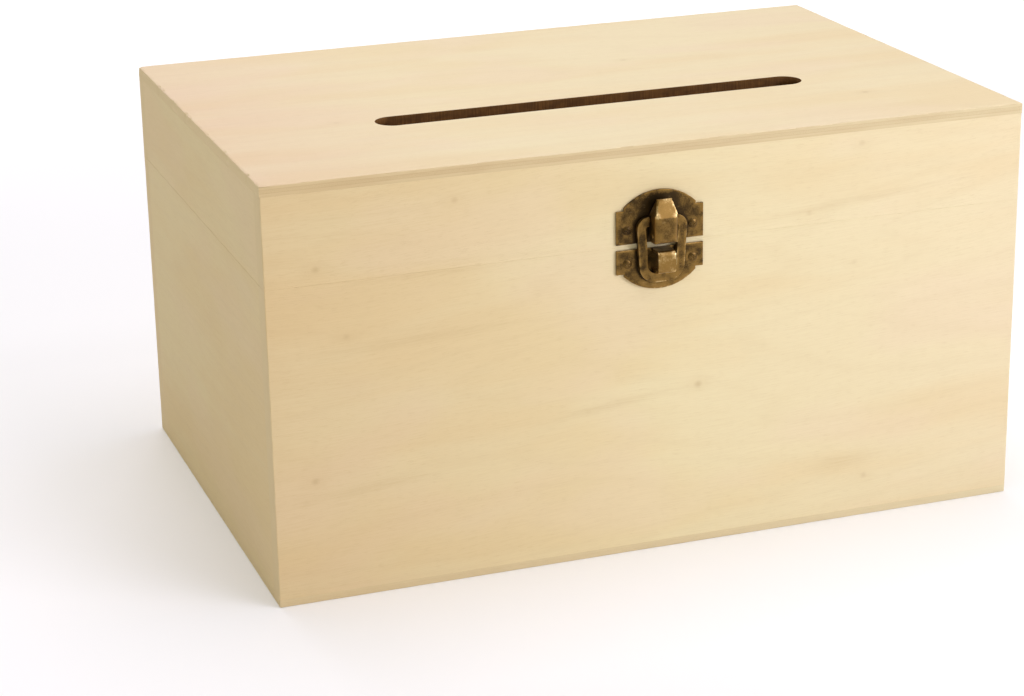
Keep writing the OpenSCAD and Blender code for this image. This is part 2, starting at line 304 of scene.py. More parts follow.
# %% Knots and streaks that are seen on the front and the top
# Knots have a place on the map and a strength.
front_knots = {(-131, 127.6): 0.65, (-134.5, 47.6): 0.65, (86.6, 16.7): 0.5, (16, 64.5): 0.8,
               (-78.8, 147.3): 0.55, (61, 126.5): 0.35, (82.3, 151.3): 0.4, (-120.7, 101.3): 0.42,
               (80.3, 104.9): 0.22, (-28.5, 59.3): 0.18, (-138, 40): 0.15}
top_knots = {(103.4, -60.2): 0.6, (37.8, 29.4): 0.5, (-100.3, -24.2): 0.3}
# Streaks have a place, half a length, half a width, and a tilt in degrees.
front_streaks = [((-92, 121), 48, 2.2, 0), ((-92, 97), 60, 3.5, 2), ((-18, 61), 42, 3, 6),
                 ((-112, 42), 34, 3, 5), ((82, 129.5), 62, 2.6, 5), ((78, 24), 22, 5, 3)]
print(len(front_knots), "knots and", len(front_streaks), "streaks in front,",
      len(top_knots), "knots on top")

# %% Painted tints of light and shade across the boards, from the box's left end to its right
front_light_tints = [(0.0, (0.975, 0.935, 0.850, 1)),
               (0.5, (1.065, 1.125, 1.105, 1)),
               (1.0, (1.025, 1.070, 1.100, 1))]
top_light_tints = [(0.0, (0.985, 0.950, 0.970, 1)),
             (0.3, (1.020, 1.070, 1.065, 1)),
             (1.0, (1.015, 1.060, 1.070, 1))]
# The other faces take one painted tint of shade, the same from end to end.
other_light_tints = [(0.0, (1.000, 0.995, 0.905, 1)),
              (1.0, (1.000, 0.995, 0.905, 1))]
edge_light_tints = [(0.0, (1.000, 1.000, 1.000, 1)),
              (1.0, (1.015, 1.105, 1.210, 1))]


def painted_light_tints(finish, tone, stops):
    """The tone under painted tints of light and shade that run from the left end of the box to its
    right end.
    """
    from_left = finish.part(finish.places(), 0) / length + 0.5
    tints = finish.add("ShaderNodeValToRGB", {"stops": stops}, {"Fac": from_left})
    return finish.mix(1.0, tone, tints, "MULTIPLY")


# %% Pin knots
# Radius of a knot of strength 0 and of strength 1, and how much wider the stain reaches.
weak_knot, strong_knot, knot_length = 1.4, 2.2, 1.15
stain_length, stain_width, least_stain = 5, 2.6, 0.4
# Scattered knots keep to cells of this side, and their reaches are shares of a cell.
knot_cell, knot_free_cells = 75, 0.65
dot_core, dot_reach, stain_reach = 0.004, 0.022, 0.075
print("knots are", round(2 * weak_knot, 1), "to", round(2 * strong_knot, 1), "mm across")


def knots_at(finish, grain, places):
    """The dark dots of the knots, and the wider stain round them. A weak knot stains less."""
    dots, stains = 0.0, 0.0
    for place, strength in places.items():
        size = weak_knot + (strong_knot - weak_knot) * strength
        dots = finish.mark(grain, place, (size * knot_length, size)) * strength + dots
        stain = finish.mark(grain, place, (size * stain_length, size * stain_width))
        stains = stain * (least_stain + (1 - least_stain) * strength) + stains
    return dots, stains


def scattered_knots(finish, grain):
    """On the other faces, a knot in one cell out of three."""
    settings, inputs = {"voronoi_dimensions": "2D"}, {"Vector": grain, "Scale": 1 / knot_cell}
    away = finish.add("ShaderNodeTexVoronoi", settings, inputs, output="Distance")
    pick = finish.add("ShaderNodeTexVoronoi", settings, inputs, output="Color")
    chance = finish.part(pick, 0)
    chosen = finish.between(chance, knot_free_cells - 0.01, knot_free_cells + 0.01)
    dots = finish.between(away, dot_reach, dot_core) * chosen
    stains = finish.between(away, stain_reach, 0.0) * chosen
    return dots, stains


# %% Face of a board
sway_rate, drift_rate, blush_rate = (0.007, 0.016), (0.006, 0.03), (0.0117, 0.026)
hill_rate, fibre_rate, pore_rate = (0.0022, 0.022), (0.06, 2.6), (0.22, 3.4)
sway_reach, lines_to_a_hill, line_sharpness = 9, 22, 4
face_share = {"blush": 0.6, "lines": 0.09, "fibres": 0.15, "pores": 0.20, "streaks": 0.55,
              "stains": 0.22, "dots": 0.36}


def board_face(name, light_tint_stops, knots=None, streaks=(), lean=0.02):
    """The face veneer. Lean is how much the grain drops from left to right."""
    finish = Finish(name)
    laid = finish.grain()
    dots, stains = knots_at(finish, laid, knots) if knots else scattered_knots(finish, laid)

    sway = finish.clouds(laid, sway_rate, 2.0, 0.4)
    drop = -(finish.part(laid, 0) * lean + sway * sway_reach)
    grain = finish.shift(laid, finish.add("ShaderNodeCombineXYZ", inputs={1: drop}))

    drift = finish.clouds(grain, drift_rate, 3.0, 0.55)
    blush = finish.clouds(grain, blush_rate)
    hills = finish.clouds(grain, hill_rate, 1.5, 0.4)
    lines = (hills * lines_to_a_hill + stains * 0.9).waves() ** line_sharpness
    fibres = finish.clouds(grain, fibre_rate, 4.0, 0.6)
    pores = finish.between(finish.clouds(grain, pore_rate, 1.0), 0.66, 0.74)

    tone = finish.mix(finish.between(drift, 0.35, 0.65), pale_wood, warm_wood)
    tone = finish.mix(finish.between(blush, 0.45, 0.7) * face_share["blush"], tone, rose_wood)
    tone = finish.mix(lines * face_share["lines"], tone, line_wood)
    tone = finish.mix(finish.between(fibres, 0.35, 0.75) * face_share["fibres"], tone, line_wood)
    tone = finish.mix(pores * face_share["pores"], tone, line_wood)
    for place, half_length, half_width, degrees in streaks:
        streak = finish.mark(laid, place, (half_length, half_width), math.radians(degrees))
        tone = finish.mix(streak * fibres * face_share["streaks"], tone, line_wood)
    tone = finish.mix(stains * face_share["stains"], tone, line_wood)
    tone = finish.mix(dots * face_share["dots"], tone, knot_wood)
    # Painted light and shade tint the tone from the left end of the box to its right.
    tone = painted_light_tints(finish, tone, light_tint_stops)

    relief = fibres * 0.6 - lines * 0.15 - pores * 0.5 - dots * 0.5
    rough = 0.62 + fibres * 0.12 - lines * 0.05
    return finish.skin(tone, rough, relief=relief, relief_depth=0.05, **dry)


front_face = board_face("plain_wood_front", front_light_tints, front_knots, front_streaks, lean=0.05)
top_face = board_face("plain_wood_top", top_light_tints, top_knots)
other_face = board_face("plain_wood_face", other_light_tints)

# %% [markdown]
# ## Edges of the plywood
# A sawn edge shows the veneers in turn: the outer ones with their grain along the edge, the core
# with its grain end on, which drinks light and looks browner. That is the darker band under the
# top's front edge, and a fainter one at the foot. At the ends of the walls the same layers hardly
# show. On the map an edge counts its veneers across the grain, so one finish serves every
# thickness, with its depth of tone given.

# %% Edge of a board
end_rate, long_rate, patch_rate = (2.6, 5.0), (0.10, 6.0), (0.030, 0.5)
edge_share = {"core": 0.18, "patches": 0.5, "end_grain": 0.35, "long_grain": 0.25, "glue": 0.25}


def board_edge(name, depth_of_tone):
    """The veneers seen from the side, with the glue between them."""
    finish = Finish(name)
    grain = finish.grain()
    core = finish.between((finish.part(grain, 1) + 0.5).waves(), 0.62, 0.38)
    end_grain = finish.clouds(grain, end_rate, 3.0, 0.65)
    long_grain = finish.clouds(grain, long_rate, 3.0, 0.6)
    patches = finish.clouds(grain, patch_rate)
    glue = core * (1 - core) * 4

    tone = finish.mix(core * edge_share["core"], edge_wood, dark_edge_wood)
    tone = finish.mix(finish.between(patches, 0.4, 0.65) * edge_share["patches"], tone, line_wood)
    pits = finish.between(end_grain, 0.5, 0.8) * core
    tone = finish.mix(pits * edge_share["end_grain"], tone, knot_wood)
    lines = finish.between(long_grain, 0.5, 0.8)
    tone = finish.mix(lines * edge_share["long_grain"], tone, line_wood)
    tone = finish.mix(glue * edge_share["glue"], tone, knot_wood)
    tone = finish.mix(depth_of_tone, plain_wood, tone)
    # Painted light and shade tint the edge from the left end of the box to its right.
    tone = painted_light_tints(finish, tone, edge_light_tints)

    relief = end_grain * core * 0.8 + long_grain * 0.4 - glue * 0.3
    return finish.skin(tone, 0.78, relief=relief, relief_depth=0.08, **very_dry)


top_edge = board_edge("plain_wood_edge", 0.95)
foot_edge = board_edge("plain_wood_foot", 0.38)
end_face = board_edge("plain_wood_end", 0.10)

# %% [markdown]
# ## The burnt slot
# The slot was cut by a hot beam, which chars the wall of the cut. The beam pulses, so the char has
# fine upright ridges. A plain dark colour would do from afar, but close up the ridges and patches
# of soot catch the light.

# %% Wall of the slot
ridge_rate, soot_rate = (1.6, 0.15), (0.12, 0.5)
char_brown, scorched_brown, soot_brown = colour(103, 67, 29), colour(126, 86, 40), colour(78, 50, 24)


def slot_wall():
    """Charred ridges with patches of soot."""
    finish = Finish("plain_wood_burnt")
    grain = finish.grain()
    ridges = finish.clouds(grain, ridge_rate, 3.0, 0.6)
    soot = finish.clouds(grain, soot_rate, 3.0)
    tone = finish.mix(finish.between(ridges, 0.3, 0.75), char_brown, scorched_brown)
    tone = finish.mix(finish.between(soot, 0.35, 0.7) * 0.5, tone, soot_brown)
    return finish.skin(tone, 0.82, relief=ridges, relief_depth=0.10, **very_dry)


burnt_face = slot_wall()

# %% [markdown]
# ## Boards
# A board is a box with its corners broken. Edges that are handled get eased most. The two lips of
# the seam get a hair only, because a sharp saw parted them, and glued joints show as a hairline.
# Sandpaper never follows a line exactly, so the eased edges waver a little, always inward. A bevel
# modifier would give every edge the same width, so the bevels are cut edge by edge in the mesh.

# %% How much each edge is eased
handled_ease, seam_ease, joint_ease = 0.45 * mm, 0.10 * mm, 0.05 * mm
waver_depth, waver_length = 0.16 * mm, 9 * mm
chip_depth, chip_length, chip_start = 1.6 * mm, 2.6 * mm, 0.15
edge_zone, diagonal_share = 1.05, 0.7
shortest_edge, square_corner, ease_steps = 1.5 * mm, math.radians(86), 3
cut_spacing, cut_tolerance = 6 * mm, 0.002 * mm
print("edges eased by", [round(ease / mm, 2) for ease in (handled_ease, seam_ease, joint_ease)], "mm")


def at(a, b):
    """Whether two places along an axis are the same."""
    return abs(a - b) < 0.01 * mm


def faces_met(point):
    """How many outer faces of the whole box a point lies on."""
    return sum(at(point[i], box_low[i]) or at(point[i], box_high[i]) for i in range(3))


def ease_of(edge):
    middle = (edge.verts[0].co + edge.verts[1].co) / 2
    if faces_met(middle) == 2:
        return handled_ease
    return seam_ease if at(middle.z, seam_z) else joint_ease


# %% Where each side of the box takes its pattern from
# Base and lid share a shift of the map on each side, and no two sides look alike.
side_shift = {(1, -1): (0, 0), (1, 1): (910, 0), (0, -1): (1830, 0), (0, 1): (2750, 0),
              (2, 1): (0, 0), (2, -1): (910, 900)}
inside_shift = Vector((4100, 700))
edge_shift_by_axis, edge_shift_by_side = 97, 31
print("patterns for", len(side_shift), "sides")


def pattern_shift(axis, sign, thin, outer):
    """The shift for a face of a board that is thin along one axis and has one outer side."""
    shift = Vector(side_shift[axis, sign])
    return shift + inside_shift if axis == thin and sign != outer else shift


def main_axis(normal):
    return max(range(3), key=lambda i: abs(normal[i]))


# %% Lay the grain map on a board
def lay_grain(bm, low, high, thin, outer, veneers):
    """On faces the map runs in millimetres along and across. On edges it counts veneers."""
    layer = bm.loops.layers.uv.new("grain")
    thickness = high[thin] - low[thin]
    for face in bm.faces:
        axis = main_axis(face.normal)
        sign = 1 if face.normal[axis] > 0 else -1
        for loop in face.loops:
            p = loop.vert.co / mm
            along = p.y if axis == 0 else p.x
            if axis == thin:
                across = p.y if axis == 2 else p.z
                loop[layer].uv = Vector((along, across)) + pattern_shift(axis, sign, thin, outer)
                continue
            run = p.z if (axis != 2 and thin != 2) else along
            if axis == 2 and thin == 0:
                run = p.y
            run += edge_shift_by_axis * axis + edge_shift_by_side * sign
            loop[layer].uv = (run, veneers * (high[thin] - loop.vert.co[thin]) / thickness)


# %% Cut a mesh up and let its edges waver
def cut_up(bm, low, high, spacing):
    """Cuts a mesh across all three axes, so that it has points to move or to colour."""
    for axis in range(3):
        cuts = int((high[axis] - low[axis]) / spacing)
        for k in range(1, cuts):
            place, normal = Vector((0, 0, 0)), Vector((0, 0, 0))
            place[axis], normal[axis] = low[axis] + k * (high[axis] - low[axis]) / cuts, 1
            everything = bm.verts[:] + bm.edges[:] + bm.faces[:]
            bmesh.ops.bisect_plane(bm, geom=everything, dist=cut_tolerance,
                                   plane_co=place, plane_no=normal)


def chip(point):
    """How deep a chip is at a point. Only the left edge of the top has some."""
    return chip_depth * max(0.0, noise.noise(point / chip_length) - chip_start)


def waver(bm):
    """Moves the eased edges inward by a little, unevenly, as sanding by hand does."""
    rim = handled_ease * edge_zone
    for vert in bm.verts:
        near = [i for i in range(3)
                if min(vert.co[i] - box_low[i], box_high[i] - vert.co[i]) < rim]
        if len(near) < 2:
            continue
        sanded = waver_depth * (0.5 + 0.5 * noise.noise(vert.co / waver_length))
        if 0 in near and 2 in near and vert.co.x < 0 and vert.co.z > seam_z:
            sanded += chip(vert.co)
        for i in near:
            inward = 1 if vert.co[i] - box_low[i] < box_high[i] - vert.co[i] else -1
            vert.co[i] += inward * sanded * diagonal_share


# %% Turn a mesh into a piece
def make_piece(bm, node, finishes):
    """The mesh becomes an object that stands for the solid and rides on the same body."""
    mesh = bpy.data.meshes.new(node + "_dressed")
    bm.to_mesh(mesh)
    bm.free()
    for finish in finishes:
        mesh.materials.append(finish)
    piece = bpy.data.objects.new(node + "_dressed", mesh)
    bpy.context.scene.collection.objects.link(piece)
    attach(piece, body_of[node])
    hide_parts(node)
    print(piece.name, "with", len(mesh.polygons), "faces")
    return piece


# %% Give a board its map and finishes
veneers_in = {"top": 3, "bottom": 3, "wall": 5}
edge_of = {"top": top_edge, "bottom": foot_edge, "wall": end_face}
outer_slot, inner_slot, edge_slot, burnt_slot, end_slot = range(5)
flat_face = 0.999


def finish_board(bm, node, thin, kind, face_finish):
    """Lays the map, gives each face its finish, and makes the piece."""
    low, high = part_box(node)
    outer = 1 if (low + high)[thin] > (box_low + box_high)[thin] else -1
    bm.normal_update()
    lay_grain(bm, low, high, thin, outer, veneers_in[kind])
    for face in bm.faces:
        axis = main_axis(face.normal)
        face.smooth = abs(face.normal[axis]) < flat_face
        if face.material_index == burnt_slot:
            continue
        if axis == thin:
            face.material_index = outer_slot if face.normal[thin] * outer > 0 else inner_slot
        else:
            face.material_index = edge_slot if axis == 1 and thin == 2 else end_slot
    finishes = (face_finish, other_face, edge_of[kind], burnt_face, end_face)
    make_piece(bm, node, finishes)


# %% Build one board
def build_board(node, thin, kind, face_finish):
    """A box of the solid's size, eased edge by edge."""
    low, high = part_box(node)
    bm = bmesh.new()
    place = Matrix.Translation((low + high) / 2) @ Matrix.Diagonal((*(high - low), 1))
    bmesh.ops.create_cube(bm, size=1, matrix=place)
    for ease in (handled_ease, seam_ease, joint_ease):
        wanted = [edge for edge in bm.edges if edge.calc_length() > shortest_edge
                  and ease_of(edge) == ease and edge.calc_face_angle() > square_corner]
        if wanted:
            steps = ease_steps if ease == handled_ease else 1
            bmesh.ops.bevel(bm, geom=wanted, offset=ease, segments=steps, profile=0.5,
                            affect="EDGES")
    cut_up(bm, low, high, cut_spacing)
    waver(bm)
    finish_board(bm, node, thin, kind, face_finish)


# %% Make the boards of base and lid
# Each board has the axis along which it is thin, its kind, and the finish of its outer face.
boards = {
    "bottom_panel": (2, "bottom", other_face),
    "front_wall": (1, "wall", front_face),
    "back_wall": (1, "wall", other_face),
    "left_wall": (0, "wall", other_face),
    "right_wall": (0, "wall", other_face),
    "lid_front_rail": (1, "wall", front_face),
    "lid_back_rail": (1, "wall", other_face),
    "lid_left_rail": (0, "wall", other_face),
    "lid_right_rail": (0, "wall", other_face),
}
for node, (thin, kind, face_finish) in boards.items():
    build_board(node, thin, kind, face_finish)

# %% [markdown]
# ## Top panel
# The panel carries the slot, so it is built as rings of points: round the outside, over the eased
# edge, across the top to the slot, down its burnt wall and back below. Each ring has as many
# points as the next, and so the faces between them are clean quads, where a hole cut by a boolean
# would leave slivers.


# %% Find the slot
def find_slot():
    """Middle, half run and radius of the slot, read from the solid's inner points."""
    low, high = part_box("lid_top_panel")
    inner = [v.co for v in nodes["lid_top_panel"].data.vertices
             if low.x + mm < v.co.x < high.x - mm and low.y + mm < v.co.y < high.y - mm]
    xs, ys = [p.x for p in inner], [p.y for p in inner]
    radius = (max(ys) - min(ys)) / 2
    half_run = (max(xs) - min(xs)) / 2 - radius
    return (min(xs) + max(xs)) / 2, (min(ys) + max(ys)) / 2, half_run, radius


slot_x, slot_y, slot_half_run, slot_radius = find_slot()
print("slot", round(2 * (slot_half_run + slot_radius) / mm), "x", round(2 * slot_radius / mm), "mm")

# %% Rings of the top panel
points_long, points_short = 60, 200
long_steps = [i / points_long for i in range(points_long)]
short_steps = [i / points_short for i in range(points_short)]
half_turn = [math.pi * i / points_short - math.pi / 2 for i in range(points_short)]


def panel_ring(inset, z):
    """A ring of the outside, drawn in by the inset: front, right, back and left."""
    x0, x1 = box_low.x + inset, box_high.x - inset
    y0, y1 = box_low.y + inset, box_high.y - inset
    ring = [(x0 + (x1 - x0) * t, y0) for t in long_steps]
    ring += [(x1, y0 + (y1 - y0) * t) for t in short_steps]
    ring += [(x1 + (x0 - x1) * t, y1) for t in long_steps]
    ring += [(x0, y1 + (y0 - y1) * t) for t in short_steps]
    return [Vector((x, y, z)) for x, y in ring]


def slot_ring(growth, z):
    """A ring of the slot, grown by a little, with as many points as the outside."""
    x, y, run, r = slot_x, slot_y, slot_half_run, slot_radius + growth
    ring = [(x - run + 2 * run * t, y - r) for t in long_steps]
    ring += [(x + run + r * math.cos(a), y + r * math.sin(a)) for a in half_turn]
    ring += [(x + run - 2 * run * t, y + r) for t in long_steps]
    ring += [(x - run - r * math.cos(a), y - r * math.sin(a)) for a in half_turn]
    return [Vector((px, py, z)) for px, py in ring]


# %% Build the top panel
slot_lip, flat_margins = 0.18 * mm, (0.7 * mm, 3 * mm)
round_steps = (math.pi / 2, math.pi / 3, math.pi / 6, 0)
wall_rings = 4


def panel_rings():
    """All rings from the panel's underside round the outside and through the slot."""
    low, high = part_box("lid_top_panel")
    rings = [panel_ring(joint_ease, low.z), panel_ring(0, low.z + joint_ease)]
    rings += [panel_ring(handled_ease * (1 - math.sin(a)), high.z - handled_ease * (1 - math.cos(a)))
              for a in round_steps]
    rings += [panel_ring(handled_ease + margin, high.z) for margin in flat_margins]
    rings += [slot_ring(slot_lip, high.z), slot_ring(0, high.z - slot_lip),
              slot_ring(0, low.z + slot_lip), slot_ring(slot_lip, low.z)]
    return rings


def build_top_panel():
    """Joins each ring to the next with quads, and the last one to the first."""
    bm = bmesh.new()
    rows = [[bm.verts.new(p) for p in ring] for ring in panel_rings()]
    for k, row in enumerate(rows):
        following = rows[(k + 1) % len(rows)]
        burnt = len(rows) - wall_rings <= k < len(rows) - 1
        for i in range(len(row)):
            j = (i + 1) % len(row)
            face = bm.faces.new((row[i], row[j], following[j], following[i]))
            face.material_index = burnt_slot if burnt else outer_slot
    bmesh.ops.recalc_face_normals(bm, faces=bm.faces[:])
    waver(bm)
    finish_board(bm, "lid_top_panel", 2, "top", top_face)


build_top_panel()

# %% [markdown]
# ## Aged brass
# The latch and hinges are stamped from brass sheet, darkened in a bath and tumbled, so that raised
# edges come up bright and hollows stay nearly black. An edge mask could come from the renderer,
# but it would be grainy when baked, so the distance to the nearest sharp edge is stored on the
# mesh and the finish reads it.

# %% Finish of the brass
bath_rate, speckle_rate, scuff_rate = 0.30, 2.2, 0.8
scuff_stretch, scuff_share = (0.5, 1, 2.6), 0.12
wear_share, rub_and_highlight_share, painted_shade_share = 0.50, 0.50, 0.50
bath_share, speckle_share = 0.55, 0.4


def aged_brass(name, bright, middle, dark, polish):
    """Brass from the bath's dark brown to bright, by wear, rubbing and painted highlight. Polish is
    how far all of it is worn bright.
    """
    finish = Finish(name)
    here = finish.places()
    # The stored painted shade darkens the brass beside the lever, under the loop and round the hinge
    # pins.
    edge_wear, handling, shelter = [finish.stored(n) for n in ("wear", "handling", "shelter")]
    bath = finish.solid_clouds(here, bath_rate, 0.55)
    speckle = finish.solid_clouds(here, speckle_rate, 0.6)
    scuffs = finish.solid_clouds(finish.stretch(here, scuff_stretch), scuff_rate, 0.55)

    patchy_wear = edge_wear * finish.between(bath, 0.34, 0.58)
    # Wear, rubbing and painted highlight brighten the brass, and painted shade darkens it.
    rub_light_and_shade = polish + patchy_wear * wear_share + handling * rub_and_highlight_share - shelter * painted_shade_share
    rub_light_and_shade = (rub_light_and_shade + (bath - 0.5) * bath_share + (speckle - 0.5) * speckle_share).clear()
    tone = finish.mix(finish.between(rub_light_and_shade, 0.0, 0.5), dark, middle)
    tone = finish.mix(finish.between(rub_light_and_shade, 0.5, 1.0), tone, bright)
    tone = finish.mix(finish.between(scuffs, 0.60, 0.8) * scuff_share, tone, bright)

    rough = 0.36 - rub_light_and_shade * 0.14 + speckle * 0.10
    metal = 0.84 + rub_light_and_shade * 0.12
    relief = speckle * 0.6 + bath * 0.4
    return finish.skin(tone, rough, metal=metal, relief=relief, relief_depth=0.018)


brass = aged_brass("aged_brass_sheet", colour(232, 202, 142), colour(136, 105, 53),
                   colour(54, 39, 14), polish=0.17)
dark_brass = aged_brass("dark_brass_pins", colour(190, 156, 98), colour(104, 79, 38),
                        colour(50, 36, 15), polish=0.18)
brass_of = {"aged_brass": brass, "dark_brass": dark_brass}

# %% [markdown]
# ## Metal pieces
# Each solid of the latch and hinges is already the true shape. Its copy gets broken edges, as
# tumbling leaves them, and enough points to hold the wear. Folds are rounded more than cut edges,
# because sheet bends on a radius.

# %% Find cut edges and folds
fold_ease, fold_steps, cut_ease, cut_steps = 0.55 * mm, 4, 0.12 * mm, 2
sharp_angle, broad_face, point_spacing = math.radians(35), 0.55 * mm, 0.3 * mm
print("folds eased by", round(fold_ease / mm, 2), "and cut edges by", round(cut_ease / mm, 2), "mm")


def sharp_edges(bm):
    """The outer corners of a piece."""
    return [edge for edge in bm.edges
            if len(edge.link_faces) == 2 and edge.calc_face_angle_signed() > sharp_angle]


def is_fold(edge):
    """A fold has broad sheet on both sides. A cut edge has the sheet's thickness on one."""
    return all(face.calc_area() / face.calc_perimeter() > broad_face for face in edge.link_faces)


def points_along(ends):
    """A tree of points along edges, close enough to stand for them."""
    points = []
    for a, b in ends:
        count = max(1, int((b - a).length / point_spacing))
        points += [a.lerp(b, i / count) for i in range(count + 1)]
    tree = KDTree(len(points))
    for number, point in enumerate(points):
        tree.insert(point, number)
    tree.balance()
    return tree if points else None


def tree_of(edges):
    return points_along([[vert.co.copy() for vert in edge.verts] for edge in edges])


def nearness(tree, point, reach):
    """From 1 at the nearest point of the tree to 0 at the reach."""
    return max(0.0, 1 - tree.find(point)[2] / reach) if tree else 0.0


# %% [markdown]
# The bath's brown lies everywhere, and beside a lever, under a loop and round a hinge pin painted
# shade darkens the sheet further. Each sheet knows what stands over it, and how far round it the
# painted shade reaches. Above the lever the latch's upper plate lies open, and the painted shade
# fades towards its top.

# %% Where painted shade falls on a sheet from what stands over it
wall_front, wall_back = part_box("front_wall")[0].y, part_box("back_wall")[1].y
sheet_reach, upright_weight = 2.2 * mm, 1.6
plate_top, open_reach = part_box("latch_upper_plate")[1].z, 4.5 * mm
standing_over = {"latch_upper_plate": {"latch_lever": 4.6 * mm, "latch_loop": 1.6 * mm},
                 "latch_lower_plate": {"latch_lever": 4.6 * mm, "latch_loop": 0.8 * mm}}
for side in ("left", "right"):
    for leaf in ("base", "lid"):
        standing_over[f"hinge_{side}_{leaf}_leaf"] = {f"hinge_{side}_pin": 2.6 * mm}
print(len(standing_over), "sheets with something over them")


def laid_flat(point):
    """Shade reaches further sideways than up and down, so heights count for more."""
    return Vector((point.x, 0, point.z * upright_weight))


def shadows_on(node):
    """Trees of the edges of the pieces over this one, laid flat on the wall, with their reach."""
    found = []
    for other, reach in standing_over.get(node, {}).items():
        mesh = nodes[other].data
        flat = [laid_flat(v.co) for v in mesh.vertices]
        ends = [[flat[i] for i in edge.vertices] for edge in mesh.edges]
        found.append((points_along(ends), reach))
    return found


def painted_shade_at(shadows, point):
    """How much painted shade lies at a point of a sheet that lies on the wall."""
    if min(point.y - wall_front, wall_back - point.y) <= -sheet_reach:
        return 0.0
    covered = max([nearness(tree, laid_flat(point), reach) for tree, reach in shadows], default=0.0)
    return min(1.0, (plate_top - point.z) / open_reach) * covered


# %% [markdown]
# What stands proud of the wall is brightened, partly as rubbing and partly as painted highlight:
# the lever's sloping tip most of all, where a thumb lifts it and where it faces the light above.
# The loop is brightened at its foot, where it slides over the catch, and so is the plate below it.
# The loop's right limb and the lever's right-hand bend get painted highlight, and the left-hand
# bend, which lies in shade, little of it.

# %% How much rubbing and painted highlight each piece takes
rub_and_highlight_start, rub_and_highlight_end = 2.5 * mm, 7.5 * mm
rub_and_highlight_of = {"latch_lever": 0.18, "latch_lower_plate": 0.72, "latch_loop": 0.06}
other_rub_and_highlight = 0.45
print("rubbed where proud of the wall by more than", rub_and_highlight_start / mm, "mm")


def proud_share(point):
    """From 0 near the wall to 1 well in front of it or behind it."""
    proud = max(wall_front - point.y, point.y - wall_back)
    return min(1.0, max(0.0, (proud - rub_and_highlight_start) / (rub_and_highlight_end - rub_and_highlight_start)))


# %% Rubbing and painted highlight on the lever
lever_points = [v.co for v in nodes["latch_lever"].data.vertices]
lever_front, lever_side = min(p.y for p in lever_points), max(p.x for p in lever_points)
hair = 0.1 * mm
tip_start = max(p.z for p in lever_points if p.y < lever_front + hair)
tip_reach = max(p.z for p in lever_points) - tip_start
tip_rub_and_highlight, tip_fade = 0.80, 0.26
bend_highlight, right_bend_highlight, left_bend_highlight, bend_sharpness = 0.75, 1.5, 0.2, 4
print("the lever's tip is", round(tip_reach / mm, 1), "mm high")


def lever_rub_and_highlight(point):
    """The tip gets most rubbing and painted highlight, the face most painted highlight at its right
    bend.
    """
    if point.z > tip_start:
        return tip_rub_and_highlight - tip_fade * (point.z - tip_start) / tip_reach
    from_middle = min(1.0, abs(point.x) / lever_side) ** bend_sharpness
    bend = from_middle * (right_bend_highlight if point.x > 0 else left_bend_highlight)
    return proud_share(point) * (rub_and_highlight_of["latch_lever"] + bend_highlight * bend)


# %% Rubbing and painted highlight on the loop, the lower plate and the rest
loop_foot, loop_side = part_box("latch_loop")[0].z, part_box("latch_loop")[1].x
foot_rub_and_highlight, foot_reach, right_limb_highlight = 1.60, 6 * mm, 0.85
plate_foot, plate_foot_rub_and_highlight, plate_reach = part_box("latch_lower_plate")[0].z, 0.42, 9 * mm


def loop_rub_and_highlight(point):
    """The loop's foot gets most rubbing and painted highlight, and its right limb painted highlight.
    """
    foot = max(0.0, 1 - (point.z - loop_foot) / foot_reach)
    right_limb = max(0.0, point.x) / loop_side
    on_loop = rub_and_highlight_of["latch_loop"] + foot_rub_and_highlight * foot + right_limb_highlight * right_limb
    return proud_share(point) * on_loop


def plate_rub_and_highlight(point):
    """The catch gets rubbing by the loop and painted highlight, and so does the plate's foot."""
    on_foot = plate_foot_rub_and_highlight * (1 - (point.z - plate_foot) / plate_reach)
    return max(proud_share(point) * rub_and_highlight_of["latch_lower_plate"], on_foot)


own_rub_and_highlight = {"latch_lever": lever_rub_and_highlight, "latch_loop": loop_rub_and_highlight,
                "latch_lower_plate": plate_rub_and_highlight}


def rub_and_highlight_at(node, point):
    if node in own_rub_and_highlight:
        return own_rub_and_highlight[node](point)
    return proud_share(point) * other_rub_and_highlight


print(len(own_rub_and_highlight), "pieces with a handling of their own")

# %% Store the wear, the rubbing with painted highlight and the painted shade on a metal piece
wear_reach, fold_reach = 0.32 * mm, 0.9 * mm
rim_reach, rim_share = 2.4 * mm, 0.38


def store_wear(bm, node, fold_tree, cut_tree):
    """Stores on each point how worn it is, its rubbing with painted highlight, and its painted shade.
    """
    shadows = shadows_on(node)
    layers = [bm.verts.layers.float.new(name) for name in ("wear", "handling", "shelter")]
    for vert in bm.verts:
        rim = nearness(cut_tree, vert.co, rim_reach) * rim_share
        cut, fold = nearness(cut_tree, vert.co, wear_reach), nearness(fold_tree, vert.co, fold_reach)
        values = max(cut, fold, rim), rub_and_highlight_at(node, vert.co), painted_shade_at(shadows, vert.co)
        for layer, value in zip(layers, values):
            vert[layer] = value


# %% Dress one metal piece
weld_reach, flat_enough, smooth_below = 0.002 * mm, math.radians(1), math.radians(40)
sheet_spacing = 0.75 * mm


